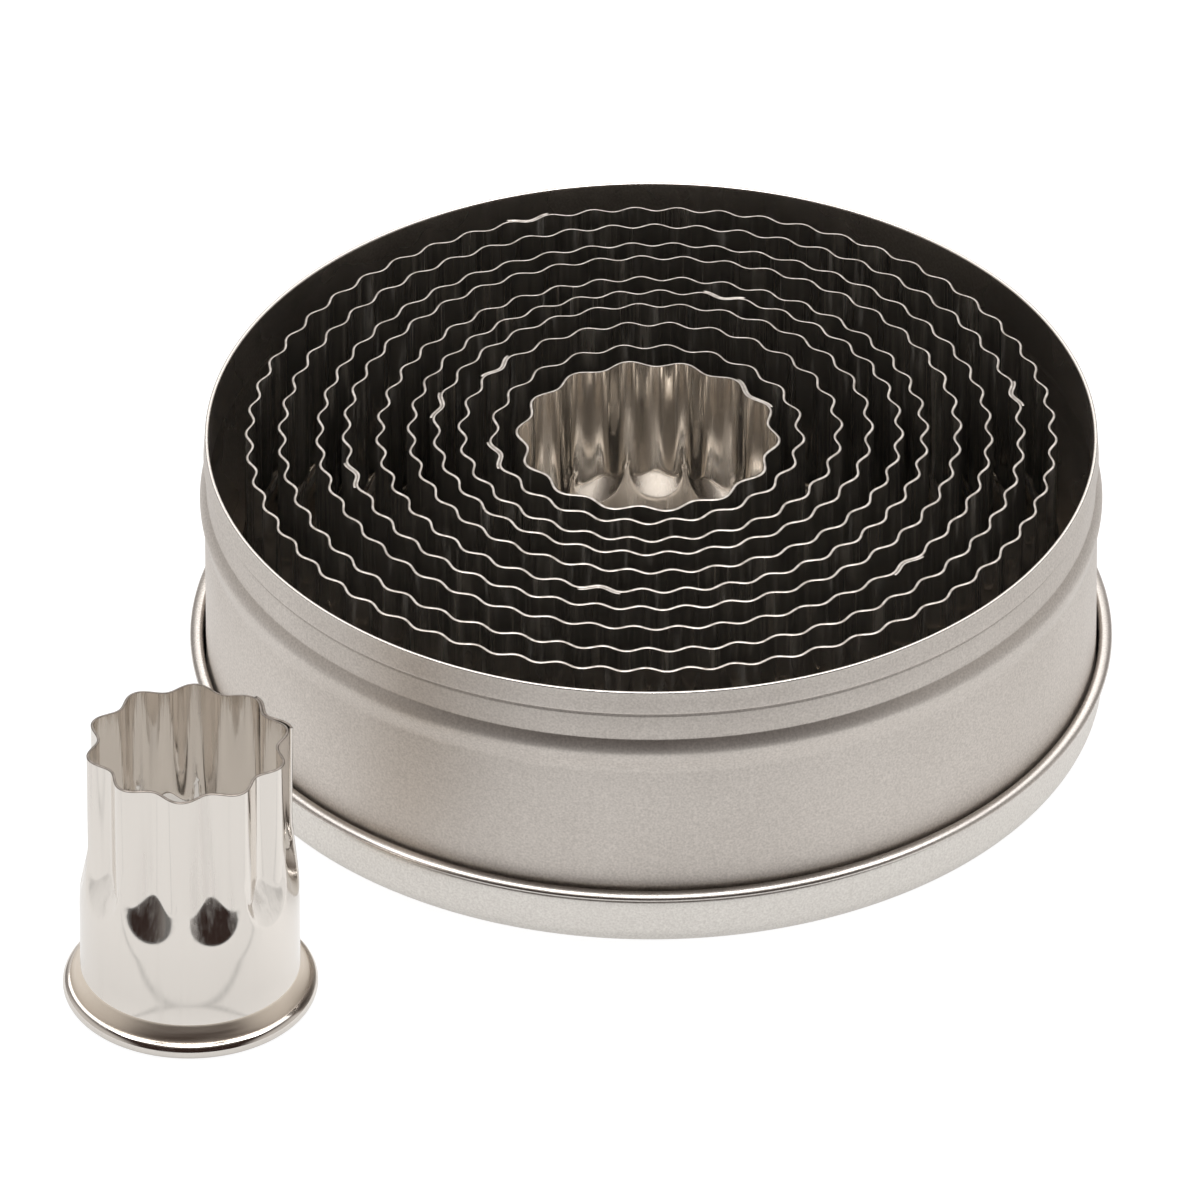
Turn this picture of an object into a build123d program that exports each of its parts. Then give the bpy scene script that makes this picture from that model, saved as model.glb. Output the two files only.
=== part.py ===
"""A tin of eleven crinkled round biscuit cutters, graded in size.

Ten cutters stand nested in the open tin with their cutting edges up. The tin stands
in its own lid, which lies upside down on the table, and the smallest cutter stands
beside it. Lengths are in millimetres. The origin is on the tin's axis, at the
underside of the lid, and +Z is up.
"""
import math
import os

from build123d import *

os.makedirs("parts", exist_ok=True)

# Sheet metal of the cutters, the tin and the lid
cutter_sheet = 0.3
tin_sheet = 0.3
lid_sheet = 0.3

# Heights on a cutter, measured up from its rolled edge to its cutting edge
cutter_height = 32.9
round_height = 13.6
shoulder_height = 6.4

# Radius of the largest cutter at the middle of its crimped wall, and the steps down
largest_radius = 44.6
step_to_02 = 3.57
step_to_03 = 3.87
step_to_04 = 3.20
step_to_05 = 3.72
step_to_06 = 3.13
step_to_07 = 3.05
step_to_08 = 3.15
step_to_09 = 3.89
step_to_10 = 2.95
step_to_11 = 3.57

# Flutes of each cutter from the largest to the smallest: their number, their depth each
# way as a share of one flute's length, how far round the first peak stands as a share
# of one flute, and the peak at which the lapped seam starts
flute_counts = [58, 53, 49, 44, 40, 36, 31, 27, 21, 14, 10]
depth_shares = [0.079, 0.082, 0.076, 0.082, 0.090, 0.084, 0.080, 0.090, 0.090, 0.087, 0.106]
peak_shares = [0.88, 0.17, 0.79, 0.25, 0.28, 0.88, 0.09, 0.29, 0.80, 0.86, 0.40]
seam_flutes = [16, 1, 42, 23, 28, 6, 14, 10, 10, 0, 0]

# The round base of a cutter stands out from its flutes, flares and rolls outward
base_step = 1.45
flare_radius = 1.5
curl_reach = 1.2
curl_radius = 0.9
curl_flat = 0.25
curl_end_turn = 110.0
seam_foot_clearance = 0.3

# Room round the largest cutter in the tin, and the least room left beside any cutter
tin_clearance = 0.95
nest_clearance = 0.25

# Where each nested cutter rests: shares, to the right and to the back, of the room that
# the piece round it leaves free
rest_shares = [
    (-0.01, 0.44), (0.04, 0.21), (0.23, 0.18), (-0.35, 0.82), (0.02, -0.33),
    (0.53, 0.80), (-0.52, 0.78), (-0.40, -0.79), (-0.27, -0.36), (0.20, -0.94),
]

# The tin: a neck inside the folded hem, a bead below it and a plain wall
rim_margin = 0.5
wall_step = 0.23
tin_corner = 1.5
hem_height = 2.85
neck_height = 3.5
bead_height = 4.45
bead_reach = 0.52

# The lid: its room round the tin, its depth and its flattened outward curl
lid_clearance = 0.67
lid_height = 8.2
lid_corner = 2.4
lid_curl_radius = 0.55
lid_curl_height = 1.15
lid_curl_end_turn = 105.0

# The smallest cutter's place on the table: its gap from the lid and its bearing
lone_gap = 11.0
lone_bearing = 228.55

# How far the narrowing shoulder runs on inside the flutes, as a share of its height
shoulder_run_share = 1.3

flange_reach = base_step + curl_reach + curl_radius
curl_middle = curl_radius - cutter_sheet / 2
flare_turn = math.degrees(math.acos((flare_radius - curl_reach) / (flare_radius + curl_middle)))
flare_height = curl_radius + (flare_radius + curl_middle) * math.sin(math.radians(flare_turn))
wall_foot = flare_height + seam_foot_clearance

steps_down = [
    step_to_02, step_to_03, step_to_04, step_to_05, step_to_06,
    step_to_07, step_to_08, step_to_09, step_to_10, step_to_11,
]
cutter_radii = [largest_radius]
for step in steps_down:
    cutter_radii.append(cutter_radii[-1] - step)

tin_foot = lid_sheet
tin_floor = tin_foot + tin_sheet
tin_rim = tin_floor + cutter_height + rim_margin
neck_radius = largest_radius + flange_reach + tin_clearance
wall_radius = neck_radius + wall_step
lid_radius = wall_radius + tin_sheet + lid_clearance
lid_reach = lid_radius + 2 * lid_curl_radius


def polar(radius, angle):
    """Return the point at a radius and an angle in degrees round the origin."""
    return (radius * math.cos(math.radians(angle)), radius * math.sin(math.radians(angle)))


def flute_arc(radius, depth, count, first_peak, shift, number):
    """Return one arc of the crimped outline: even numbers are peaks, odd ones valleys.

    The outline lies outside the sheet's middle by the shift.
    """
    turn = 180.0 / count
    angle = first_peak + number * turn
    slope = 2 * math.atan(2 * depth * count / (math.pi * radius))
    side = radius + shift / math.cos(slope)
    crest = radius + shift + (depth if number % 2 == 0 else -depth)
    ends = polar(side, angle - turn / 2), polar(side, angle + turn / 2)
    return ThreePointArc(ends[0], polar(crest, angle), ends[1], mode=Mode.PRIVATE)


def seam_arcs(radius, depth, count, first_peak, shift, seam_flute):
    """Draw the sector of the crimped outline from one peak to the next."""
    first, valley, last = [
        flute_arc(radius, depth, count, first_peak, shift, 2 * seam_flute + number) for number in range(3)
    ]
    add([first.trim(1 / 2, 1), valley, last.trim(0, 1 / 2)])
    Polyline(last @ (1 / 2), (0, 0), first @ (1 / 2))


def body_outline(radius, depth, shift):
    """Draw half the round body that rises from the flare and narrows past the valleys."""
    base = radius + base_step + shift
    inner = base - shoulder_run_share * (base_step + depth)
    top = round_height + shoulder_run_share * shoulder_height
    Polyline((0, wall_foot), (base, wall_foot), (base, round_height), (inner, top), (0, top), close=True)


def base_path(base_radius):
    """Draw the middle of the sheet from the wall down through the flare and the curl."""
    curl_place = base_radius + curl_reach
    Line((base_radius, wall_foot), (base_radius, flare_height))
    CenterArc((base_radius + flare_radius, flare_height), flare_radius, 180, flare_turn)
    CenterArc((curl_place, curl_radius), curl_middle, -90, 90 + flare_turn)
    Line((curl_place, cutter_sheet / 2), (curl_place - curl_flat, cutter_sheet / 2))
    CenterArc((curl_place - curl_flat, curl_radius), curl_middle, -90, -curl_end_turn)


def lapped_seam(foot, radius, depth, count, first_peak, seam_flute):
    """Return the second layer of sheet where the strip's ends overlap by one flute."""
    turn = 180.0 / count
    start_angle = first_peak + 2 * seam_flute * turn
    radial = Plane(
        origin=foot,
        x_dir=polar(1, start_angle) + (0,),
        z_dir=polar(1, start_angle - 90) + (0,),
    )
    with BuildPart() as seam:
        for shift, mode in ((3 * cutter_sheet / 2, Mode.ADD), (0, Mode.SUBTRACT)):
            with BuildSketch(Plane(foot).offset(round_height)):
                with BuildLine():
                    seam_arcs(radius, depth, count, first_peak, shift, seam_flute)
                make_face()
            extrude(amount=cutter_height - round_height, mode=mode)
            with BuildSketch(radial):
                with BuildLine():
                    body_outline(radius, depth, shift)
                make_face()
            revolve(axis=Axis(foot, (0, 0, 1)), revolution_arc=2 * turn, mode=mode)
    return seam.part


def crimped_cutter(foot, radius, count, depth, first_peak, seam_flute):
    """Return one cutter standing on its rolled edge at a point of what carries it."""
    upright = Plane(origin=foot, x_dir=(1, 0, 0), z_dir=(0, -1, 0))
    axis = Axis(foot, (0, 0, 1))
    seam = lapped_seam(foot, radius, depth, count, first_peak, seam_flute)
    with BuildPart() as cutter:
        for shift, mode in ((cutter_sheet / 2, Mode.ADD), (-cutter_sheet / 2, Mode.SUBTRACT)):
            with BuildSketch(Plane(foot).offset(round_height)):
                with BuildLine():
                    for number in range(2 * count):
                        add(flute_arc(radius, depth, count, first_peak, shift, number))
                make_face()
            extrude(amount=cutter_height - round_height, mode=mode)
            with BuildSketch(upright):
                with BuildLine():
                    body_outline(radius, depth, shift)
                make_face()
            revolve(axis=axis, mode=mode)
        with BuildSketch(upright):
            with BuildLine():
                base_path(radius + base_step)
            trace(line_width=cutter_sheet)
        revolve(axis=axis)
        add(seam)
    return cutter.part


def cutter_places():
    """Return the centre of each cutter: the nested ones from the outside in, then the last."""
    places = []
    x, y = 0, 0
    free = tin_clearance - nest_clearance
    for radius, smaller, (right, back) in zip(cutter_radii, cutter_radii[1:], rest_shares):
        x += right * free
        y += back * free
        places.append((x, y, tin_floor))
        free = radius + base_step - cutter_sheet / 2 - smaller - flange_reach - nest_clearance
    lone_distance = lid_reach + lone_gap + cutter_radii[-1] + flange_reach
    places.append(polar(lone_distance, lone_bearing) + (0,))
    return places


# The tin's body: a drawn cup with a bead, a neck and an outward hem of two layers
with BuildPart() as tin_body:
    outside = wall_radius + tin_sheet
    outer_corner = tin_corner + tin_sheet
    hem_reach = neck_radius + 2 * tin_sheet
    hem_foot = tin_rim - hem_height
    bead_top = hem_foot - neck_height
    bead_foot = bead_top - bead_height
    bead_middle = bead_foot + bead_height / 2
    bead_out = outside + bead_reach
    with BuildSketch(Plane.XZ):
        with BuildLine():
            Line((0, tin_foot), (outside - outer_corner, tin_foot))
            CenterArc((outside - outer_corner, tin_foot + outer_corner), outer_corner, -90, 90)
            Line((outside, tin_foot + outer_corner), (outside, bead_foot))
            ThreePointArc((outside, bead_foot), (bead_out, bead_middle), (neck_radius + tin_sheet, bead_top))
            Polyline(
                (neck_radius + tin_sheet, bead_top), (neck_radius + tin_sheet, hem_foot),
                (hem_reach, hem_foot), (hem_reach, tin_rim - tin_sheet),
            )
            CenterArc((neck_radius + tin_sheet, tin_rim - tin_sheet), tin_sheet, 0, 180)
            Line((neck_radius, tin_rim - tin_sheet), (neck_radius, bead_top))
            ThreePointArc((neck_radius, bead_top), (bead_out - tin_sheet, bead_middle), (wall_radius, bead_foot))
            Line((wall_radius, bead_foot), (wall_radius, tin_floor + tin_corner))
            CenterArc((wall_radius - tin_corner, tin_floor + tin_corner), tin_corner, 0, -90)
            Polyline((wall_radius - tin_corner, tin_floor), (0, tin_floor), (0, tin_foot))
        make_face()
    revolve(axis=Axis.Z)
tin_body.part.label = "tin_body"
export_step(tin_body.part, "parts/tin_body.step")

# The lid, upside down: a shallow cup whose edge is curled outward and pressed flat
with BuildPart() as tin_lid:
    middle = lid_radius + lid_sheet / 2
    corner_middle = lid_corner + lid_sheet / 2
    turn_middle = lid_curl_radius - lid_sheet / 2
    turn_place = middle + turn_middle
    turn_top = lid_height - lid_curl_radius
    turn_foot = lid_height - lid_curl_height + lid_curl_radius
    with BuildSketch(Plane.XZ):
        with BuildLine():
            Line((0, lid_sheet / 2), (middle - corner_middle, lid_sheet / 2))
            CenterArc((middle - corner_middle, lid_sheet / 2 + corner_middle), corner_middle, -90, 90)
            Line((middle, lid_sheet / 2 + corner_middle), (middle, turn_top))
            CenterArc((turn_place, turn_top), turn_middle, 180, -180)
            Line((turn_place + turn_middle, turn_top), (turn_place + turn_middle, turn_foot))
            CenterArc((turn_place, turn_foot), turn_middle, 0, -lid_curl_end_turn)
        trace(line_width=lid_sheet)
    revolve(axis=Axis.Z)
tin_lid.part.label = "tin_lid"
export_step(tin_lid.part, "parts/tin_lid.step")

# The eleven cutters, numbered from the largest
for index, foot in enumerate(cutter_places()):
    radius = cutter_radii[index]
    count = flute_counts[index]
    flute_length = 2 * math.pi * radius / count
    depth = depth_shares[index] * flute_length
    first_peak = peak_shares[index] * 360.0 / count
    piece = crimped_cutter(foot, radius, count, depth, first_peak, seam_flutes[index])
    piece.label = f"cutter_{index + 1:02d}"
    export_step(piece, f"parts/{piece.label}.step")
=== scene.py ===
"""Looks for a tin of eleven crinkled round biscuit cutters, graded in size.

Each piece is a surface worked out with numpy. The slip lid, the drawn tin and the strips
of the eleven cutters each stand for one CAD node, and the lapped end of a strip rides on
its cutter's node. Lengths are in millimetres until a mesh is made, and the frame is the
CAD's: origin on the tin's axis at the underside of the lid, +Z up.
"""

import math

import bpy
import numpy as np
from mathutils import Matrix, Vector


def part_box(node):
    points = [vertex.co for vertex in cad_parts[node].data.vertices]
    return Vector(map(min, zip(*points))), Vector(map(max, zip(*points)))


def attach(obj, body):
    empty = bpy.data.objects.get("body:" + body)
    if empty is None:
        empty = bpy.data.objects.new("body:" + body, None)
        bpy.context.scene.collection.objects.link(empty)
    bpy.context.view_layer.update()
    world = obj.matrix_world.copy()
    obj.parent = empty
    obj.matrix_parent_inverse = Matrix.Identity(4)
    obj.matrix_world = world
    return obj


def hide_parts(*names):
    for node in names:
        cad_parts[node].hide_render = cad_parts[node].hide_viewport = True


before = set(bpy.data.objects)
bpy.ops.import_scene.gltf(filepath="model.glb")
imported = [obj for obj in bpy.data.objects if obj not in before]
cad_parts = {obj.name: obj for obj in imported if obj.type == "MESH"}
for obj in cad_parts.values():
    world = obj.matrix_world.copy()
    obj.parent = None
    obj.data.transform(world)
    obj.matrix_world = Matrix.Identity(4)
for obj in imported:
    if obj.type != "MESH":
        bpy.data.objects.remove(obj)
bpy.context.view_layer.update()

# Metres in a millimetre
METRES = 0.001

# The camera: it stands three metres off with a long lens, as the almost parallel lines
# of the photograph ask
camera_back = 2454.2
camera_height = 1750.4
camera_tilt = 35.32
camera_pan = -0.133
camera_roll = -0.060
lens_length = 810.0
sensor_width = 36.0

# The cutters, from the largest, as in the solids: their sheet and height, the first one's
# radius at the crimp and each step down to the next. Then for each its number of flutes,
# their depth as a share of a flute's length, where its first peak lies as a share of a
# flute, and the flute at which its seam starts
cutter_sheet = 0.3
cutter_height = 32.9
largest_radius = 44.6
steps_down = [3.57, 3.87, 3.20, 3.72, 3.13, 3.05, 3.15, 3.89, 2.95, 3.57]
flute_counts = [58, 53, 49, 44, 40, 36, 31, 27, 21, 14, 10]
depth_shares = [0.079, 0.082, 0.076, 0.082, 0.090, 0.084, 0.080, 0.090, 0.090, 0.087, 0.106]
peak_shares = [0.88, 0.17, 0.79, 0.25, 0.28, 0.88, 0.09, 0.29, 0.80, 0.86, 0.40]
seam_flutes = [16, 1, 42, 23, 28, 6, 14, 10, 10, 0, 0]

# The round base of a cutter, its flare and the curl of its rolled edge, and the number of
# rows of faces on the flare
base_step = 1.45
flare_radius = 1.5
curl_reach = 1.2
curl_radius = 0.9
curl_flat = 0.25
curl_end_turn = 110.0
flare_top = 3.45
flare_lean = 27.0
flare_rows = 13

# How the flutes run out into the round base: where the lobes start to draw in and where
# they are full, and the scoop that ends each valley. Its foot is round: it is lowest in
# the valley's middle, rises towards the sides and is as wide as a share of the flute, with
# steep flanks beyond. The slope is how far the scoop goes in for each millimetre up, and
# the creases where the parts meet are rounded
lobe_start = 11.3
lobe_full = 22.0
scoop_foot = 13.4
scoop_rise = 3.1
scoop_width_share = 0.88
scoop_flank = 34.0
scoop_slope = 0.37
crease_radius = 0.05
lobe_margin = 0.5

# The cutting edge: its broken corners, and how far its outer side lies lower
edge_corner = 0.04
edge_slant = 0.06

# The lap: where it starts above the rolled edge, how deep it beds into the sheet below as
# a share of the sheet, and its points from side to side. The lone cutter's free end
# stands off, from a height on and over a share of the flute
lap_foot = 3.5
lap_bed_share = 0.35
lap_points = 25
lone_lift = 0.22
lift_start = 18.0
lift_share = 0.45

# The tin: a neck inside the folded hem, a bead below it and a plain wall. The bead falls
# off to the neck by a power of the height
tin_sheet = 0.3
tin_foot = 0.3
tin_rim = 34.0
neck_radius = 49.1
wall_step = 0.23
tin_corner = 1.5
hem_height = 2.85
hem_fold = 0.18
hem_lean = 0.16
rim_outer_round = 0.15
rim_inner_round = 0.2
neck_height = 3.5
neck_tuck = 0.24
neck_tuck_height = 0.45
bead_height = 4.45
bead_upper_height = 1.65
bead_reach = 0.52
bead_fall_power = 1.5

# The lid, upside down: its wall, the neck drawn in at the top of it, and the edge curled
# outward and pressed flat as a lip
lid_sheet = 0.3
lid_radius = 50.3
lid_corner = 2.4
lid_draft = 0.2
lid_neck_foot = 6.35
lid_neck_run = 0.32
lid_neck_tuck = 0.36
lip_height = 7.80
lip_inner_round = 0.3
lip_crown_radius = 1.295
lip_slope = 38.0
lip_outer_round = 0.2
lip_foot = 7.19

# The turned pieces: the number of their columns, how far a straight part keeps off a bend,
# and the slight wavers of their sheet, which start at a reach and are full after a run
# outward
shell_columns = 360
bend_margin = 0.3
sheet_waver = 0.03
waver_start = 45.0
waver_run = 4.0

# A thin dark line across the table before the lone cutter, which only the metal sees, and the
# table's half width and how far it lies below the lid
dark_line_place = -77.0
dark_line_width = 1.3
table_reach = 4000.0
table_drop = 0.02


def linear(code):
    """Turn an sRGB hex colour into linear red, green and blue with an alpha of one."""
    parts = np.array([int(code[at:at + 2], 16) for at in (1, 3, 5)]) / 255
    curve = np.where(parts <= 0.04045, parts / 12.92, ((parts + 0.055) / 1.055) ** 2.4)
    return (*curve.tolist(), 1.0)


def add_node(tree, kind, values=None, links=None, **settings):
    """Add one node to a tree, with its settings, its input values and what feeds it."""
    made = tree.nodes.new(kind)
    for name, value in settings.items():
        setattr(made, name, value)
    for name, value in (values or {}).items():
        made.inputs[name].default_value = value
    for name, socket in (links or {}).items():
        tree.links.new(socket, made.inputs[name])
    return made


def blank_material(name):
    """Return a new material with an empty tree, and the tree."""
    material = bpy.data.materials.new(name)
    material.use_nodes = True
    material.node_tree.nodes.clear()
    return material, material.node_tree


def tinplate(name, dark, light, least_rough, most_rough, grain_depth):
    """Tin-coated steel sheet, matt with a flowed tin coat or burnished by the rolls.

    The coat is a metal that scatters: broad soft reflections, a fine sandy grain of about
    0.15 mm and faint clouds where the coat is thicker. The grain is drawn at 0.25 mm, as
    fine as the render can show.
    """
    material, tree = blank_material(name)
    place = add_node(tree, "ShaderNodeTexCoord")
    grain = add_node(
        tree, "ShaderNodeTexNoise", {"Scale": 1 / (0.25 * METRES), "Detail": 3.0},
        {"Vector": place.outputs["Object"]},
    )
    clouds = add_node(
        tree, "ShaderNodeTexNoise", {"Scale": 1 / (16 * METRES), "Detail": 3.0},
        {"Vector": place.outputs["Object"]},
    )
    grain_tone = add_node(tree, "ShaderNodeValToRGB", links={"Fac": grain.outputs["Fac"]})
    grain_tone.color_ramp.elements[0].position = 0.3
    grain_tone.color_ramp.elements[0].color = linear(dark)
    grain_tone.color_ramp.elements[1].position = 0.7
    grain_tone.color_ramp.elements[1].color = linear(light)
    rough = add_node(
        tree, "ShaderNodeMapRange",
        {"From Min": 0.3, "From Max": 0.7, "To Min": least_rough, "To Max": most_rough},
        {"Value": clouds.outputs["Fac"]},
    )
    bump = add_node(
        tree, "ShaderNodeBump", {"Strength": 0.35, "Distance": grain_depth * METRES},
        {"Height": grain.outputs["Fac"]},
    )
    metal = add_node(
        tree, "ShaderNodeBsdfPrincipled", {"Metallic": 1.0},
        {
            "Base Color": grain_tone.outputs["Color"],
            "Roughness": rough.outputs["Result"],
            "Normal": bump.outputs["Normal"],
        },
    )
    add_node(tree, "ShaderNodeOutputMaterial", links={"Surface": metal.outputs["BSDF"]})
    return material


def bright_steel_strip(name, tone, matt_share, streak_share):
    """Bright annealed stainless steel strip, crimped between rolls.

    It is close to a mirror. The rolls leave fine lines along the flutes, about 0.3 mm
    apart, that spread a reflection a little sideways, and broader scuffs, 2 to 4 mm
    apart, where the strip is duller. Its faint film of oil and dust gives the slight
    matt share, which is more in thin upright streaks, about 1 mm wide.
    """
    material, tree = blank_material(name)
    place = add_node(tree, "ShaderNodeTexCoord")
    along = add_node(
        tree, "ShaderNodeMapping",
        {"Scale": (1 / (0.3 * METRES), 1 / (0.3 * METRES), 1 / (14 * METRES))},
        {"Vector": place.outputs["Object"]},
    )
    lines = add_node(
        tree, "ShaderNodeTexNoise", {"Scale": 1.0, "Detail": 2.0},
        {"Vector": along.outputs["Vector"]},
    )
    broad = add_node(
        tree, "ShaderNodeMapping",
        {"Scale": (1 / (2.2 * METRES), 1 / (2.2 * METRES), 1 / (40 * METRES))},
        {"Vector": place.outputs["Object"]},
    )
    scuffs = add_node(
        tree, "ShaderNodeTexNoise", {"Scale": 1.0, "Detail": 3.0},
        {"Vector": broad.outputs["Vector"]},
    )
    fine_rough = add_node(
        tree, "ShaderNodeMapRange",
        {"From Min": 0.35, "From Max": 0.7, "To Min": 0.06, "To Max": 0.14},
        {"Value": lines.outputs["Fac"]},
    )
    scuff_rough = add_node(
        tree, "ShaderNodeMapRange",
        {"From Min": 0.55, "From Max": 0.72, "To Min": 0.0, "To Max": 0.22},
        {"Value": scuffs.outputs["Fac"]},
    )
    rough = add_node(
        tree, "ShaderNodeMath",
        links={0: fine_rough.outputs["Result"], 1: scuff_rough.outputs["Result"]}, operation="ADD",
    )
    bump = add_node(
        tree, "ShaderNodeBump", {"Strength": 0.12, "Distance": 0.01 * METRES},
        {"Height": lines.outputs["Fac"]},
    )
    upright = add_node(
        tree, "ShaderNodeMapping",
        {"Scale": (1 / (1.1 * METRES), 1 / (1.1 * METRES), 1 / (9 * METRES))},
        {"Vector": place.outputs["Object"]},
    )
    streaks = add_node(
        tree, "ShaderNodeTexNoise", {"Scale": 1.0, "Detail": 4.0},
        {"Vector": upright.outputs["Vector"]},
    )
    metallic = add_node(
        tree, "ShaderNodeMapRange",
        {"From Min": 0.60, "From Max": 0.72, "To Min": 1 - matt_share, "To Max": 1 - streak_share},
        {"Value": streaks.outputs["Fac"]},
    )
    metal = add_node(
        tree, "ShaderNodeBsdfPrincipled", {"Base Color": linear(tone)},
        {
            "Metallic": metallic.outputs["Result"],
            "Roughness": rough.outputs["Value"],
            "Normal": bump.outputs["Normal"],
        },
    )
    add_node(tree, "ShaderNodeOutputMaterial", links={"Surface": metal.outputs["BSDF"]})
    return material


def sheared_steel_edge(name, dark, light):
    """The strip's sheared edge: torn, finely grooved steel that glints between two tones."""
    material, tree = blank_material(name)
    place = add_node(tree, "ShaderNodeTexCoord")
    tears = add_node(
        tree, "ShaderNodeTexNoise", {"Scale": 1 / (0.8 * METRES), "Detail": 3.0},
        {"Vector": place.outputs["Object"]},
    )
    tone = add_node(tree, "ShaderNodeValToRGB", links={"Fac": tears.outputs["Fac"]})
    tone.color_ramp.elements[0].position = 0.3
    tone.color_ramp.elements[0].color = linear(dark)
    tone.color_ramp.elements[1].position = 0.65
    tone.color_ramp.elements[1].color = linear(light)
    metal = add_node(
        tree, "ShaderNodeBsdfPrincipled", {"Metallic": 1.0, "Roughness": 0.34},
        {"Base Color": tone.outputs["Color"]},
    )
    add_node(tree, "ShaderNodeOutputMaterial", links={"Surface": metal.outputs["BSDF"]})
    return material


def spun_steel_flare():
    """The flare of the rolled edge, left duller than the strip by the spinning roll: a soft
    warm sheen with faint rings, 0.5 mm apart, along the roll's path."""
    material, tree = blank_material("spun_steel_flare")
    place = add_node(tree, "ShaderNodeTexCoord")
    level = add_node(
        tree, "ShaderNodeMapping",
        {"Scale": (1 / (9 * METRES), 1 / (9 * METRES), 1 / (0.5 * METRES))},
        {"Vector": place.outputs["Object"]},
    )
    rings = add_node(
        tree, "ShaderNodeTexNoise", {"Scale": 1.0, "Detail": 2.0},
        {"Vector": level.outputs["Vector"]},
    )
    rough = add_node(
        tree, "ShaderNodeMapRange",
        {"From Min": 0.35, "From Max": 0.65, "To Min": 0.34, "To Max": 0.44},
        {"Value": rings.outputs["Fac"]},
    )
    metal = add_node(
        tree, "ShaderNodeBsdfPrincipled", {"Metallic": 1.0, "Base Color": linear("#EFE3D4")},
        {"Roughness": rough.outputs["Result"]},
    )
    add_node(tree, "ShaderNodeOutputMaterial", links={"Surface": metal.outputs["BSDF"]})
    return material


def build_mesh(name, points, faces, face_materials, materials):
    """Make an object from points in millimetres and four-cornered faces.

    A face whose last corner repeats its third is a triangle. The faces are turned round
    where the volume they enclose, the sum of the signed pyramids on them, is negative.
    """
    corners = points[faces]
    pyramids = np.einsum("ij,ij->i", corners[:, 0], np.cross(corners[:, 1], corners[:, 2]))
    pyramids += np.einsum("ij,ij->i", corners[:, 0], np.cross(corners[:, 2], corners[:, 3]))
    triangle = faces[:, 2] == faces[:, 3]
    kept = np.ones_like(faces, dtype=bool)
    kept[triangle, 3] = False
    if pyramids.sum() < 0:
        faces, kept = faces[:, ::-1], kept[:, ::-1]
    mesh = bpy.data.meshes.new(name)
    mesh.vertices.add(len(points))
    mesh.vertices.foreach_set("co", (points * METRES).astype(np.float32).ravel())
    sizes = kept.sum(axis=1)
    mesh.loops.add(int(sizes.sum()))
    mesh.loops.foreach_set("vertex_index", faces[kept].astype(np.int32))
    mesh.polygons.add(len(faces))
    mesh.polygons.foreach_set("loop_start", (np.cumsum(sizes) - sizes).astype(np.int32))
    mesh.polygons.foreach_set("use_smooth", np.ones(len(faces), dtype=bool))
    for material in materials:
        mesh.materials.append(material)
    mesh.polygons.foreach_set("material_index", face_materials.astype(np.int32))
    mesh.update(calc_edges=True)
    mesh.validate()
    made = bpy.data.objects.new(name, mesh)
    bpy.context.scene.collection.objects.link(made)
    return made


def ring_faces(rows, columns, closed_rows):
    """Number the faces of a grid whose columns close, and its rows too where asked."""
    grid = np.arange(rows * columns).reshape(rows, columns)
    lower = grid if closed_rows else grid[:-1]
    upper = np.roll(grid, -1, axis=0) if closed_rows else grid[1:]
    ring = [lower, np.roll(lower, -1, axis=1), np.roll(upper, -1, axis=1), upper]
    return np.stack(ring, axis=-1).reshape(-1, 4)


def turned_shell(name, profile, columns, materials, waver, coats):
    """Turn a closed half section, from axis to axis, into a shell round the Z axis.

    The profile's reach r and height z give the point (r cos a, r sin a, z). The waver w
    first takes w (0.9 less 0.6 cos(2 a + 0.7) less 0.3 cos(5 a + 2 + 0.05 z)) off r, which
    fades towards the axis. A face takes the material with the least number among its
    points' coats.
    """
    angle = np.arange(columns) * 2 * math.pi / columns
    reach, height = profile[:, :1], profile[:, 1:]
    few_waves = 0.6 * np.cos(2 * angle + 0.7)
    more_waves = 0.3 * np.cos(5 * angle + 2.0 + 0.05 * height)
    stray = waver * (few_waves + more_waves - 0.9)
    radius = reach + stray * np.clip((reach - waver_start) / waver_run, 0, 1)
    grid = np.stack([radius * np.cos(angle), radius * np.sin(angle), height + 0 * radius], axis=-1)
    inner = grid[1:-1].reshape(-1, 3)
    points = np.concatenate([inner, grid[:1, 0], grid[-1:, 0]])
    faces = ring_faces(len(profile) - 2, columns, False)
    first = np.arange(columns)
    second = np.roll(first, -1)
    last_row = (len(profile) - 3) * columns
    low_pole = np.full(columns, len(inner))
    high_pole = low_pole + 1
    faces = np.concatenate([
        faces,
        np.stack([low_pole, second, first, first], axis=-1),
        np.stack([high_pole, last_row + first, last_row + second, last_row + second], axis=-1),
    ])
    point_coats = np.concatenate([np.repeat(coats[1:-1], columns), coats[:1], coats[-1:]])
    return build_mesh(name, points, faces, point_coats[faces].min(axis=1), materials)


def arc(centre, radius, start, turn, count):
    """Points round a centre, from a start angle through a turn, both in degrees."""
    angle = np.radians(start + turn * np.linspace(0, 1, count))
    return np.stack([centre[0] + radius * np.cos(angle), centre[1] + radius * np.sin(angle)], axis=-1)


def run(start, end, count):
    """Evenly spaced points on the straight line from start to end."""
    share = np.linspace(0, 1, count)[:, None]
    return np.array(start) * (1 - share) + np.array(end) * share


def smooth_step(value, low, high):
    """Rise from 0 at low to 1 at high along 3 t squared less 2 t cubed."""
    share = np.clip((value - low) / (high - low), 0, 1)
    return share * share * (3 - 2 * share)


def soft_larger(first, second):
    """The larger of two values, rounded off where they meet."""
    return (first + second + np.sqrt((first - second) ** 2 + crease_radius**2)) / 2


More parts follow.
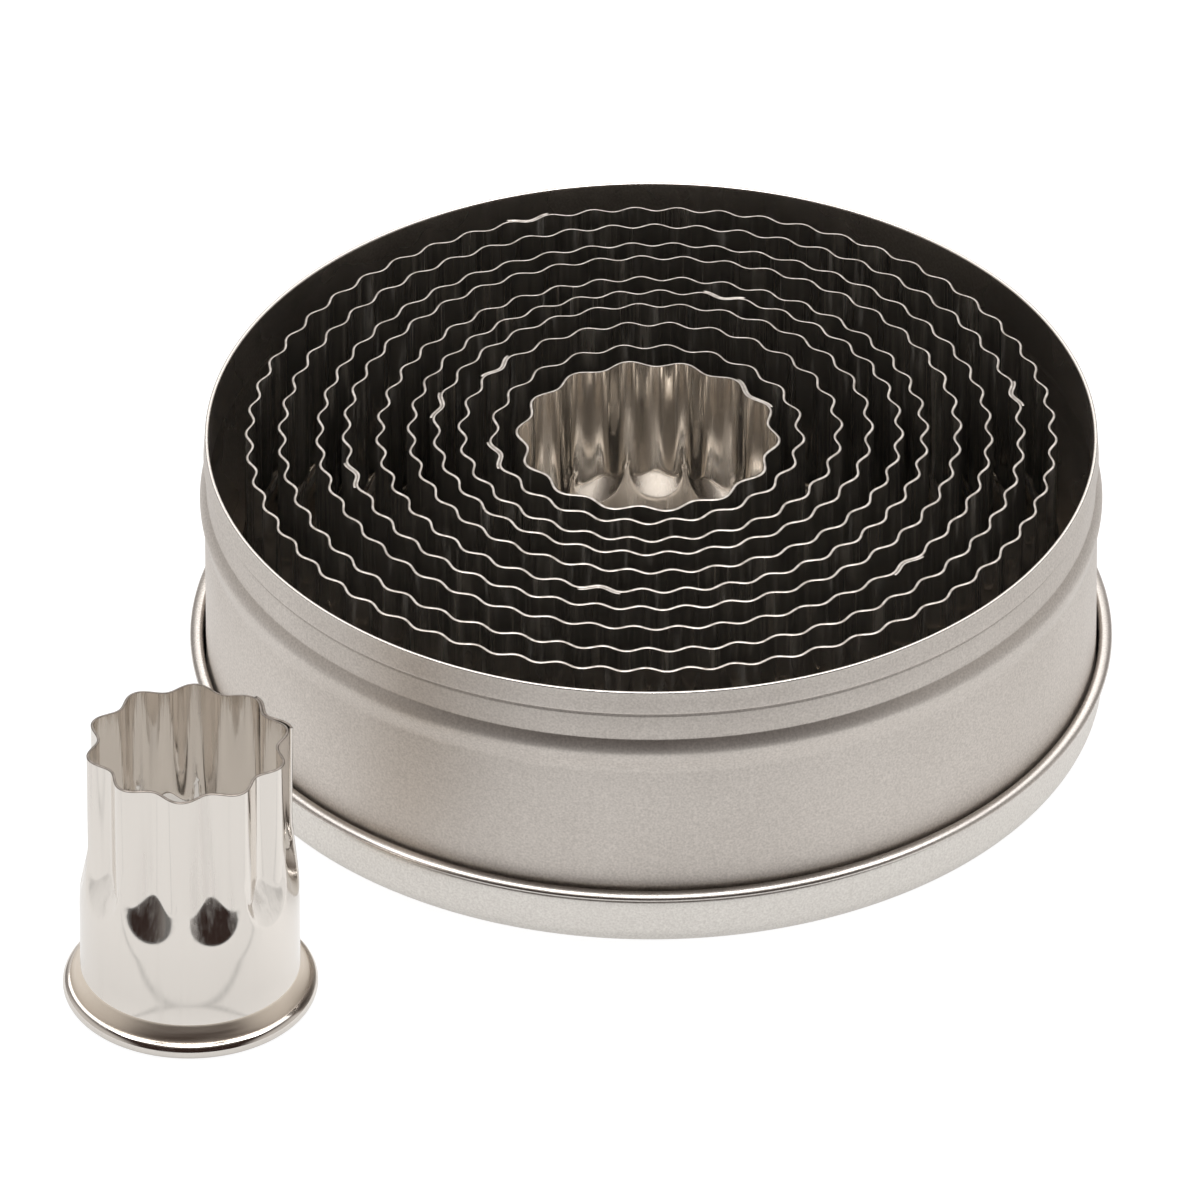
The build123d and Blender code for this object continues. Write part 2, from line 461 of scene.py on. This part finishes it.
def thickened(path, thickness):
    """Return both sides of a sheet whose middle follows a path of points."""
    direction = np.gradient(path, axis=0)
    direction /= np.linalg.norm(direction, axis=1)[:, None]
    normal = np.stack([direction[:, 1], -direction[:, 0]], axis=-1)
    return path + normal * thickness / 2, path - normal * thickness / 2


class Crimped:
    """The sizes of one cutter, read off its CAD node's box and the lists above."""

    def __init__(self, index):
        self.node = f"cutter_{index + 1:02d}"
        low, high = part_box(self.node)
        self.centre = np.array([(low.x + high.x) / 2, (low.y + high.y) / 2, low.z]) / METRES
        self.radius = largest_radius - sum(steps_down[:index])
        self.count = flute_counts[index]
        self.depth = depth_shares[index] * 2 * math.pi * self.radius / self.count
        self.first_peak = peak_shares[index] * 2 * math.pi / self.count
        self.seam_start = self.first_peak + seam_flutes[index] * 2 * math.pi / self.count

    def reach(self, angle, height):
        """Distance of the sheet's middle from the cutter's axis.

        The lobes draw in evenly from the round base between lobe_start and lobe_full. A
        flute's section is a cosine of the share u from a valley's middle, 0, to a peak, 1.
        Each valley ends downward in a scoop: a plane ramp that rises from a round foot,
        whose height is the foot plus the rise times 1 less the root of 1 less u squared
        over the width squared. The wall is the larger of flute and scoop, held inside the
        lobes.
        """
        phase = (angle - self.first_peak) * self.count + math.pi
        across = np.abs(np.remainder(phase + math.pi, 2 * math.pi) - math.pi) / math.pi
        base = self.radius + base_step
        lobe = base - (base_step - self.depth) * smooth_step(height, lobe_start, lobe_full)
        flute = self.radius - self.depth * np.cos(math.pi * across)
        foot = 1 - np.sqrt(1 - np.minimum(across / scoop_width_share, 1) ** 2)
        foot = scoop_foot + scoop_rise * foot + scoop_flank * np.maximum(across - scoop_width_share, 0)
        scoop = base - scoop_slope * (height - foot)
        return -soft_larger(-lobe, -soft_larger(flute, scoop))

    def wall(self, angle, height, offset):
        """Points at an offset out of the sheet's middle, along the surface's own normal.

        With r the reach, the normal is r outward, less the change of r with the angle
        sideways, less r times the change of r with the height upward, made one long.
        """
        small_turn, small_rise = 1e-4, 1e-3
        middle = self.reach(angle, height)
        by_turn = self.reach(angle + small_turn, height) - self.reach(angle - small_turn, height)
        by_rise = self.reach(angle, height + small_rise) - self.reach(angle, height - small_rise)
        by_turn, by_rise = by_turn / (2 * small_turn), by_rise / (2 * small_rise)
        length = np.sqrt(middle**2 + by_turn**2 + (middle * by_rise) ** 2)
        outward = middle + offset * middle / length
        sideways = -offset * by_turn / length
        upward = height - offset * middle * by_rise / length
        return self.placed(outward, sideways, upward, angle)

    def placed(self, outward, sideways, upward, angle):
        """Turn distances outward, sideways and upward at an angle into points."""
        return np.stack(
            [
                self.centre[0] + outward * np.cos(angle) - sideways * np.sin(angle),
                self.centre[1] + outward * np.sin(angle) + sideways * np.cos(angle),
                self.centre[2] + upward + 0 * outward,
            ],
            axis=-1,
        )


def rolled_edge_path(base_radius):
    """The middle of the sheet from the curl's hidden end up to the foot of the wall.

    The flare is a curve with one control point, where the curl's tangent meets the line
    that leaves the wall at the flare's lean.
    """
    middle = curl_radius - cutter_sheet / 2
    flare_turn = math.acos((flare_radius - curl_reach) / (flare_radius + middle))
    outer = base_radius + curl_reach
    away = np.array([math.cos(flare_turn), math.sin(flare_turn)])
    start = np.array([outer, curl_radius]) + middle * away
    back = np.array([-math.sin(flare_turn), math.cos(flare_turn)])
    down = np.array([math.sin(math.radians(flare_lean)), -math.cos(math.radians(flare_lean))])
    top = np.array([base_radius, flare_top])
    along = np.linalg.solve(np.column_stack([back, -down]), top - start)[0]
    corner = start + along * back
    share = np.linspace(0, 1, flare_rows + 1)[1:, None]
    flare = (1 - share) ** 2 * start + 2 * share * (1 - share) * corner + share**2 * top
    return np.concatenate([
        arc((outer - curl_flat, curl_radius), middle, -90 - curl_end_turn, curl_end_turn, 7),
        arc((outer, curl_radius), middle, -90, 90 + math.degrees(flare_turn), 21),
        flare,
    ])


def wall_heights(start, rows):
    """Heights up a wall: few on the straight parts and close ones where the flutes run out."""
    return np.concatenate([
        np.linspace(start, lobe_start, 4)[:-1],
        np.linspace(lobe_start, lobe_full + lobe_margin, rows),
        np.linspace(lobe_full + lobe_margin, cutter_height - 4 * edge_corner, 3)[1:],
        cutter_height - edge_corner * np.array([2, 1]),
    ])


def crimped_cutter(index, columns_each, rows, materials):
    """Build one cutter's strip as a closed skin round its sheet.

    Rows run up the outside from the curl's end to the cutting edge and down the inside.
    The cutting edge has the second material and the flare's outside the third.
    """
    cutter = Crimped(index)
    angle = np.arange(cutter.count * columns_each) * 2 * math.pi / (cutter.count * columns_each)
    path = rolled_edge_path(cutter.radius + base_step)
    outside, inside = thickened(path, cutter_sheet)
    heights = wall_heights(path[-1, 1], rows)[1:]
    lowered = heights - edge_slant * (heights > cutter_height - 5 * edge_corner)
    half = cutter_sheet / 2
    base_rows = [
        cutter.placed(side[:, :1] + 0 * angle, 0 * angle, side[:, 1:], angle + 0 * side[:, :1])
        for side in (outside, inside)
    ]
    outer_rows = cutter.wall(angle, lowered[:, None], half)
    inner_rows = cutter.wall(angle, heights[:, None], -half)
    edge_heights = np.array([[cutter_height - edge_slant], [cutter_height]])
    edge_offsets = np.array([[half - edge_corner], [edge_corner - half]])
    edge_rows = cutter.wall(angle, edge_heights + 0 * angle, edge_offsets)
    points = np.concatenate([base_rows[0], outer_rows, edge_rows, inner_rows[::-1], base_rows[1][::-1]])
    rows, columns = points.shape[:2]
    faces = ring_faces(rows, columns, True)
    first_edge = len(path) + len(heights) - 1
    face_row = np.repeat(np.arange(rows), columns)
    part = np.zeros(len(faces))
    part[(face_row >= first_edge) & (face_row < first_edge + 3)] = 1
    part[(face_row >= len(path) - flare_rows) & (face_row < len(path) - 1)] = 2
    name = f"crimped_strip_{index + 1:02d}"
    return build_mesh(name, points.reshape(-1, 3), faces, part, materials), cutter


def lapped_end(index, cutter, rows, lift, materials):
    """Build the strip's outer lap: a second sheet over one flute, from peak to peak.

    Its outline in plan goes along the outside, round the free end and back inside the
    sheet below; the same outline is stacked from the foot of the wall to the edge. Towards
    its free end and the cutting edge it stands off by up to the lift.
    """
    share = np.linspace(0, 1, lap_points)
    angle = cutter.seam_start + share * 2 * math.pi / cutter.count
    loop_angle = np.concatenate([angle, angle[::-1]])
    high, low = 1.5 * cutter_sheet, lap_bed_share * cutter_sheet
    loop_offset = np.concatenate([np.full(lap_points, high), np.full(lap_points, low)])
    off_share = smooth_step(-np.concatenate([share, share[::-1]]), -lift_share, 0.0)
    heights = np.append(wall_heights(lap_foot, rows), cutter_height) - edge_slant
    inset = np.where(heights > cutter_height - edge_slant - edge_corner / 2, edge_corner, 0)[:, None]
    offsets = np.where(loop_offset > low, loop_offset - inset, loop_offset)
    offsets = offsets + lift * off_share * smooth_step(heights, lift_start, cutter_height)[:, None]
    points = cutter.wall(loop_angle[None, :], heights[:, None], offsets)
    rows, columns = points.shape[:2]
    sides = ring_faces(rows, columns, False)
    outer = np.arange(lap_points - 1)
    cap = np.stack([outer, outer + 1, columns - 2 - outer, columns - 1 - outer], axis=-1)
    top = cap + (rows - 1) * columns
    faces = np.concatenate([sides, cap[:, ::-1], top])
    on_edge = np.zeros(len(faces))
    on_edge[(rows - 2) * columns:len(sides)] = 1
    on_edge[len(sides) + len(outer):] = 1
    return build_mesh(f"lapped_end_{index + 1:02d}", points.reshape(-1, 3), faces, on_edge, materials)


def beaded_side(shift):
    """The tin's side from the bead's foot up to the hem, moved inward by the shift.

    Below the crest the reach falls off by half a cosine of the depth; above it by a power
    of the height, to a sharp crease; then the neck stands upright and is tucked in under
    the hem. Points a few hundredths of a millimetre apart keep its bends crisp.
    """
    bead_top = tin_rim - hem_height - neck_height
    crest_height = bead_top - bead_upper_height
    outside = neck_radius + wall_step + tin_sheet
    neck_outside = neck_radius + tin_sheet
    crest = outside + bead_reach
    lower = np.linspace(bead_top - bead_height, crest_height, 17)
    lower_share = (crest_height - lower) / (lower[-1] - lower[0])
    upper_share = np.linspace(0, 1, 17)[1:]
    upper = crest_height + upper_share * bead_upper_height
    swell = outside + bead_reach * (0.5 + 0.5 * np.cos(math.pi * lower_share))
    fall = crest - (crest - neck_outside) * upper_share**bead_fall_power
    hem_foot = tin_rim - hem_height
    neck = np.array([
        (neck_outside, bead_top + 0.05),
        (neck_outside, hem_foot - neck_tuck_height - 0.1),
        (neck_outside - 0.02, hem_foot - neck_tuck_height),
        (neck_outside - neck_tuck, hem_foot - 0.04),
    ])
    side = np.concatenate([
        np.stack([swell, lower], axis=-1), np.stack([fall, upper], axis=-1), neck,
    ])
    return side - np.array([shift, 0])


def drawn_tin(materials):
    """Build the tin: drawn cup, outward bead, neck and outward folded hem.

    From the rim's top on, down the inside, it has the second coat.
    """
    wall_radius = neck_radius + wall_step
    outside = wall_radius + tin_sheet
    neck_outside = neck_radius + tin_sheet
    hem_outside = neck_outside + tin_sheet
    hem_foot = tin_rim - hem_height
    bead_foot = hem_foot - neck_height - bead_height
    floor = tin_foot + tin_sheet
    outer_corner = tin_corner + tin_sheet
    outer_round_centre = (hem_outside - hem_lean - rim_outer_round, tin_rim - rim_outer_round)
    inner_round_centre = (neck_radius + rim_inner_round, tin_rim - rim_inner_round)
    profile = np.concatenate([
        run((0, tin_foot), (outside - outer_corner, tin_foot), 12),
        arc((outside - outer_corner, tin_foot + outer_corner), outer_corner, -90, 90, 9)[1:],
        run((outside, tin_foot + outer_corner), (outside, bead_foot - bend_margin), 6)[1:],
        beaded_side(0),
        run((neck_outside - neck_tuck, hem_foot), (hem_outside - hem_fold, hem_foot), 2),
        arc((hem_outside - hem_fold, hem_foot + hem_fold), hem_fold, -90, 90, 5)[1:],
        run((hem_outside, hem_foot + bend_margin), (hem_outside - hem_lean, tin_rim - tin_sheet), 4),
        arc(outer_round_centre, rim_outer_round, 0, 85, 6),
        arc(inner_round_centre, rim_inner_round, 90, 90, 6),
        run((neck_radius, tin_rim - tin_sheet), (neck_radius, hem_foot), 4)[1:],
        beaded_side(tin_sheet)[-3::-1],
        run((wall_radius, bead_foot - bend_margin), (wall_radius, floor + tin_corner), 6),
        arc((wall_radius - tin_corner, floor + tin_corner), tin_corner, 0, -90, 9)[1:],
        run((wall_radius - tin_corner, floor), (0, floor), 12)[1:],
    ])
    coats = np.where(np.maximum.accumulate(profile[:, 1]) > tin_rim - 2 * rim_outer_round, 1, 0)
    return turned_shell("drawn_tin", profile, shell_columns, materials, sheet_waver, coats)


def slip_lid(materials):
    """Build the upturned lid: a shallow cup with a tucked neck under a lip.

    The lip turns over the neck in a small circle's arc, falls off outward on a larger one,
    and turns down at its end, as a curl that was pressed flat does. It has the second coat.
    """
    middle = lid_radius + lid_sheet / 2
    corner = lid_corner + lid_sheet / 2
    neck = middle - lid_neck_tuck
    drawn_in = middle - lid_draft
    slope = math.radians(lip_slope)
    inner_centre = np.array([neck + lip_inner_round, lip_height - lid_sheet / 2 - lip_inner_round])
    outward = np.array([math.sin(slope), math.cos(slope)])
    crown_centre = inner_centre + np.array([0, lip_inner_round - lip_crown_radius])
    outer_centre = crown_centre + (lip_crown_radius - lip_outer_round) * outward
    path = np.concatenate([
        run((0, lid_sheet / 2), (drawn_in - corner, lid_sheet / 2), 12),
        arc((drawn_in - corner, lid_sheet / 2 + corner), corner, -90, 90, 11)[1:],
        run((drawn_in, lid_sheet / 2 + corner), (middle, lid_neck_foot - 0.05), 5)[1:],
        run((middle - 0.02, lid_neck_foot), (neck + 0.02, lid_neck_foot + lid_neck_run), 3),
        run((neck, lid_neck_foot + lid_neck_run + 0.05), (neck, inner_centre[1]), 2),
        arc(inner_centre, lip_inner_round, 180, -90, 9)[1:],
        arc(crown_centre, lip_crown_radius, 90, -lip_slope, 12)[1:],
        arc(outer_centre, lip_outer_round, 90 - lip_slope, lip_slope - 90, 6)[1:],
        np.array([[outer_centre[0] + lip_outer_round, lip_foot]]),
    ])
    below, above = thickened(path, lid_sheet)
    below[0, 0] = above[0, 0] = 0
    profile = np.concatenate([below, above[::-1]])
    coats = np.where(profile[:, 1] > lip_foot, 1, 0)
    return turned_shell("slip_lid", profile, shell_columns, materials, sheet_waver, coats)


def place_camera():
    """Set the camera: its axes are the view direction turned by tilt, pan and roll."""
    tilt, pan, roll = [math.radians(turn) for turn in (camera_tilt, camera_pan, camera_roll)]
    ahead = np.array([math.sin(pan) * math.cos(tilt), math.cos(pan) * math.cos(tilt), -math.sin(tilt)])
    level = np.array([math.cos(pan), -math.sin(pan), 0])
    upright = np.cross(level, ahead)
    right = level * math.cos(roll) + upright * math.sin(roll)
    up = upright * math.cos(roll) - level * math.sin(roll)
    place = np.array([0, -camera_back, camera_height]) * METRES
    data = bpy.data.cameras.new("long_lens")
    data.lens = lens_length
    data.sensor_width = sensor_width
    camera = bpy.data.objects.new("long_lens", data)
    axes = np.column_stack([right, up, -ahead, place])
    camera.matrix_world = Matrix([*axes.tolist(), [0, 0, 0, 1]])
    bpy.context.scene.collection.objects.link(camera)
    bpy.context.scene.camera = camera


def white_table():
    """Lay the floor: white to the camera with a faint shadow. To the metal it glows with painted light,
    brightest close to the tin and fading with distance, as a lit table does in a dark room, and
    shows a thin dark line before the lone cutter, which the lone cutter mirrors."""
    material, tree = blank_material("white_table")
    rays = add_node(tree, "ShaderNodeLightPath")
    place = add_node(tree, "ShaderNodeTexCoord")
    distance = add_node(
        tree, "ShaderNodeVectorMath", links={0: place.outputs["Object"]}, operation="LENGTH",
    )
    # Painted light: within a few centimetres of the tin the table glows brighter, a painted pool of
    # light thrown back off the tin
    near = add_node(
        tree, "ShaderNodeMapRange",
        {"From Min": 0.052, "From Max": 0.088, "To Min": 1.0, "To Max": 0.8},
        {"Value": distance.outputs["Value"]}, interpolation_type="SMOOTHSTEP",
    )
    # Painted light: further out the table's glow falls away, a painted fall-off of light with distance
    far = add_node(
        tree, "ShaderNodeMapRange",
        {"From Min": 0.12, "From Max": 0.34, "To Min": 1.0, "To Max": 0.2},
        {"Value": distance.outputs["Value"]}, interpolation_type="SMOOTHSTEP",
    )
    painted_light_fade = add_node(
        tree, "ShaderNodeMath", links={0: near.outputs["Result"], 1: far.outputs["Result"]},
        operation="MULTIPLY",
    )
    parts = add_node(tree, "ShaderNodeSeparateXYZ", links={"Vector": place.outputs["Object"]})
    # A thin dark line across the table before the lone cutter, drawn only for the metal to mirror
    from_dark_line = add_node(
        tree, "ShaderNodeMath", {1: dark_line_place * METRES}, {0: parts.outputs["Y"]},
        operation="SUBTRACT",
    )
    off_dark_line = add_node(
        tree, "ShaderNodeMath", links={0: from_dark_line.outputs["Value"]}, operation="ABSOLUTE",
    )
    dark_line_tone = add_node(
        tree, "ShaderNodeMapRange",
        {"From Min": 0.0, "From Max": dark_line_width * METRES, "To Min": 0.72, "To Max": 1.0},
        {"Value": off_dark_line.outputs["Value"]},
    )
    mirrored = add_node(
        tree, "ShaderNodeMath",
        links={0: painted_light_fade.outputs["Value"], 1: dark_line_tone.outputs["Result"]}, operation="MULTIPLY",
    )
    # Painted light: the glow that the metal sees, brightened near the tin and faded far off as above
    own_glow = add_node(
        tree, "ShaderNodeMath", {1: 0.62}, {0: mirrored.outputs["Value"]}, operation="MULTIPLY",
    )
    lit_tone = add_node(
        tree, "ShaderNodeMath", {1: 0.42}, {0: mirrored.outputs["Value"]}, operation="MULTIPLY",
    )
    mirrored_glow = add_node(tree, "ShaderNodeEmission", links={"Strength": own_glow.outputs["Value"]})
    mirrored_lit = add_node(tree, "ShaderNodeBsdfDiffuse", links={"Color": lit_tone.outputs["Value"]})
    mirrored_sum = add_node(
        tree, "ShaderNodeAddShader", links={0: mirrored_glow.outputs[0], 1: mirrored_lit.outputs[0]},
    )
    seen_glow = add_node(tree, "ShaderNodeEmission", {"Strength": 0.90})
    lit = add_node(tree, "ShaderNodeBsdfDiffuse", {"Color": (0.25, 0.25, 0.25, 1)})
    seen = add_node(tree, "ShaderNodeAddShader", links={0: seen_glow.outputs[0], 1: lit.outputs[0]})
    plain = add_node(tree, "ShaderNodeBsdfDiffuse", {"Color": (0.8, 0.8, 0.8, 1)})
    shiny = add_node(
        tree, "ShaderNodeMath",
        links={0: rays.outputs["Is Glossy Ray"], 1: rays.outputs["Is Transmission Ray"]},
        operation="MAXIMUM",
    )
    to_metal = add_node(
        tree, "ShaderNodeMixShader",
        links={0: shiny.outputs["Value"], 1: plain.outputs[0], 2: mirrored_sum.outputs[0]},
    )
    to_all = add_node(
        tree, "ShaderNodeMixShader",
        links={0: rays.outputs["Is Camera Ray"], 1: to_metal.outputs[0], 2: seen.outputs[0]},
    )
    add_node(tree, "ShaderNodeOutputMaterial", links={"Surface": to_all.outputs[0]})
    mesh = bpy.data.meshes.new("white_table")
    side = table_reach * METRES
    corners = [(-side, -side, 0), (side, -side, 0), (side, side, 0), (-side, side, 0)]
    mesh.from_pydata(corners, [], [(0, 1, 2, 3)])
    mesh.materials.append(material)
    table = bpy.data.objects.new("white_table", mesh)
    table.location.z = -table_drop * METRES
    bpy.context.scene.collection.objects.link(table)


def studio_room():
    """Set the world: white to the camera and soft to matt things. To the metal it is a dark
    room that pales overhead, with a small bright panel in its ceiling, pale wings far out
    at both sides and a pale cloth behind the table, which darkens off its middle."""
    world = bpy.data.worlds.new("studio_room")
    bpy.context.scene.world = world
    world.use_nodes = True
    tree = world.node_tree
    tree.nodes.clear()
    rays = add_node(tree, "ShaderNodeLightPath")
    place = add_node(tree, "ShaderNodeTexCoord")
    parts = add_node(tree, "ShaderNodeSeparateXYZ", links={"Vector": place.outputs["Generated"]})
    overhead = add_node(
        tree, "ShaderNodeMapRange", {"From Min": 0.80, "From Max": 0.98},
        {"Value": parts.outputs["Z"]}, interpolation_type="SMOOTHSTEP",
    )
    behind = add_node(
        tree, "ShaderNodeMapRange", {"From Min": -0.05, "From Max": 0.45},
        {"Value": parts.outputs["Y"]}, interpolation_type="SMOOTHSTEP",
    )
    ceiling = add_node(
        tree, "ShaderNodeMapRange", {"From Min": 0.965, "From Max": 0.985},
        {"Value": parts.outputs["Z"]}, interpolation_type="SMOOTHSTEP",
    )
    aside = add_node(
        tree, "ShaderNodeMath", links={0: parts.outputs["X"]}, operation="ABSOLUTE",
    )
    middle = add_node(
        tree, "ShaderNodeMapRange",
        {"From Min": 0.2, "From Max": 0.55, "To Min": 1.0, "To Max": 0.35},
        {"Value": aside.outputs["Value"]}, interpolation_type="SMOOTHSTEP",
    )
    cloth = add_node(
        tree, "ShaderNodeMath", links={0: behind.outputs["Result"], 1: middle.outputs["Result"]},
        operation="MULTIPLY",
    )
    wings = add_node(
        tree, "ShaderNodeMapRange", {"From Min": 0.62, "From Max": 0.92, "To Max": 0.8},
        {"Value": aside.outputs["Value"]}, interpolation_type="SMOOTHSTEP",
    )
    front = add_node(
        tree, "ShaderNodeMix", {"A": linear("#30231F"), "B": linear("#958E87")},
        {"Factor": overhead.outputs["Result"]}, data_type="RGBA",
    )
    winged = add_node(
        tree, "ShaderNodeMix", {"B": linear("#DDD9D5")},
        {"Factor": wings.outputs["Result"], "A": front.outputs["Result"]}, data_type="RGBA",
    )
    sweep = add_node(
        tree, "ShaderNodeMix", {"B": linear("#E2DEDA")},
        {"Factor": cloth.outputs["Value"], "A": winged.outputs["Result"]}, data_type="RGBA",
    )
    lit = add_node(
        tree, "ShaderNodeMix", {"B": (4.2, 4.2, 4.2, 1)},
        {"Factor": ceiling.outputs["Result"], "A": sweep.outputs["Result"]}, data_type="RGBA",
    )
    soft = add_node(
        tree, "ShaderNodeMix", {"B": (0.6, 0.6, 0.6, 1)},
        {"Factor": rays.outputs["Is Diffuse Ray"], "A": lit.outputs["Result"]}, data_type="RGBA",
    )
    white = add_node(
        tree, "ShaderNodeMix", {"B": (1, 1, 1, 1)},
        {"Factor": rays.outputs["Is Camera Ray"], "A": soft.outputs["Result"]}, data_type="RGBA",
    )
    glow = add_node(tree, "ShaderNodeBackground", links={"Color": white.outputs["Result"]})
    add_node(tree, "ShaderNodeOutputWorld", links={"Surface": glow.outputs[0]})


def softbox(name, place, target, size, radiance):
    """Hang an area lamp square on to a target, at a place and of a size in metres. Its power
    is pi times its radiance and its area."""
    data = bpy.data.lights.new(name, "AREA")
    data.shape = "RECTANGLE"
    data.size, data.size_y = size
    data.energy = math.pi * radiance * size[0] * size[1]
    lamp = bpy.data.objects.new(name, data)
    ahead = np.array(target, float) - np.array(place, float)
    ahead /= np.linalg.norm(ahead)
    level = np.cross(ahead, [0, 0, 1.0])
    level /= np.linalg.norm(level)
    up = np.cross(level, ahead)
    axes = np.column_stack([level, up, -ahead, place])
    lamp.matrix_world = Matrix([*axes.tolist(), [0, 0, 0, 1]])
    bpy.context.scene.collection.objects.link(lamp)


burnished = tinplate("burnished_tinplate", "#D0CAC4", "#E8E2DC", 0.24, 0.30, 0.01)
tin_coats = [tinplate("satin_tinplate", "#CBC4BD", "#E3DCD5", 0.48, 0.56, 0.02), burnished]
# Painted light: the lid's tinplate is drawn paler than the tin's, though it is the same sheet, to stand
# for the brighter table it mirrors close by
lid_coats = [tinplate("lid_tinplate_painted_paler", "#D3CEC8", "#E9E5DF", 0.38, 0.44, 0.015), burnished]
nested_strip = bright_steel_strip("bright_steel_strip", "#E6E1DA", 0.02, 0.15)
lone_strip = bright_steel_strip("wiped_steel_strip", "#E8E2DB", 0.01, 0.03)
flare_steel = spun_steel_flare()
nested_edge = sheared_steel_edge("sheared_steel_edge", "#99928B", "#C9C3BD")
nested_steel = [nested_strip, nested_edge, flare_steel]
lone_edge = sheared_steel_edge("burred_steel_edge", "#6E6760", "#8F8780")
lone_steel = [lone_strip, lone_edge, flare_steel]

place_camera()

tin = drawn_tin(tin_coats)
lid = slip_lid(lid_coats)
for piece, node in ((tin, "tin_body"), (lid, "tin_lid")):
    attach(piece, node)
    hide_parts(node)

# The last two, the innermost of the nest and the lone cutter, are seen closest and get the
# finest grids
for index in range(len(flute_counts)):
    alone = index == len(flute_counts) - 1
    steel = lone_steel if alone else nested_steel
    columns_each, rows = (12, 21) if index < 9 else (36, 49)
    strip, cutter = crimped_cutter(index, columns_each, rows, steel)
    lap = lapped_end(index, cutter, rows, lone_lift if alone else 0, steel)
    for piece in (strip, lap):
        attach(piece, cutter.node)
    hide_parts(cutter.node)

white_table()
studio_room()
softbox("back_softbox", (0, 0.60, 0.95), (0, 0, 0), (1.6, 1.0), 1.2)
softbox("top_strip", (0, 0.06, 1.30), (0, 0, 0), (1.6, 0.34), 4.0)

bpy.context.scene.view_settings.view_transform = "Standard"
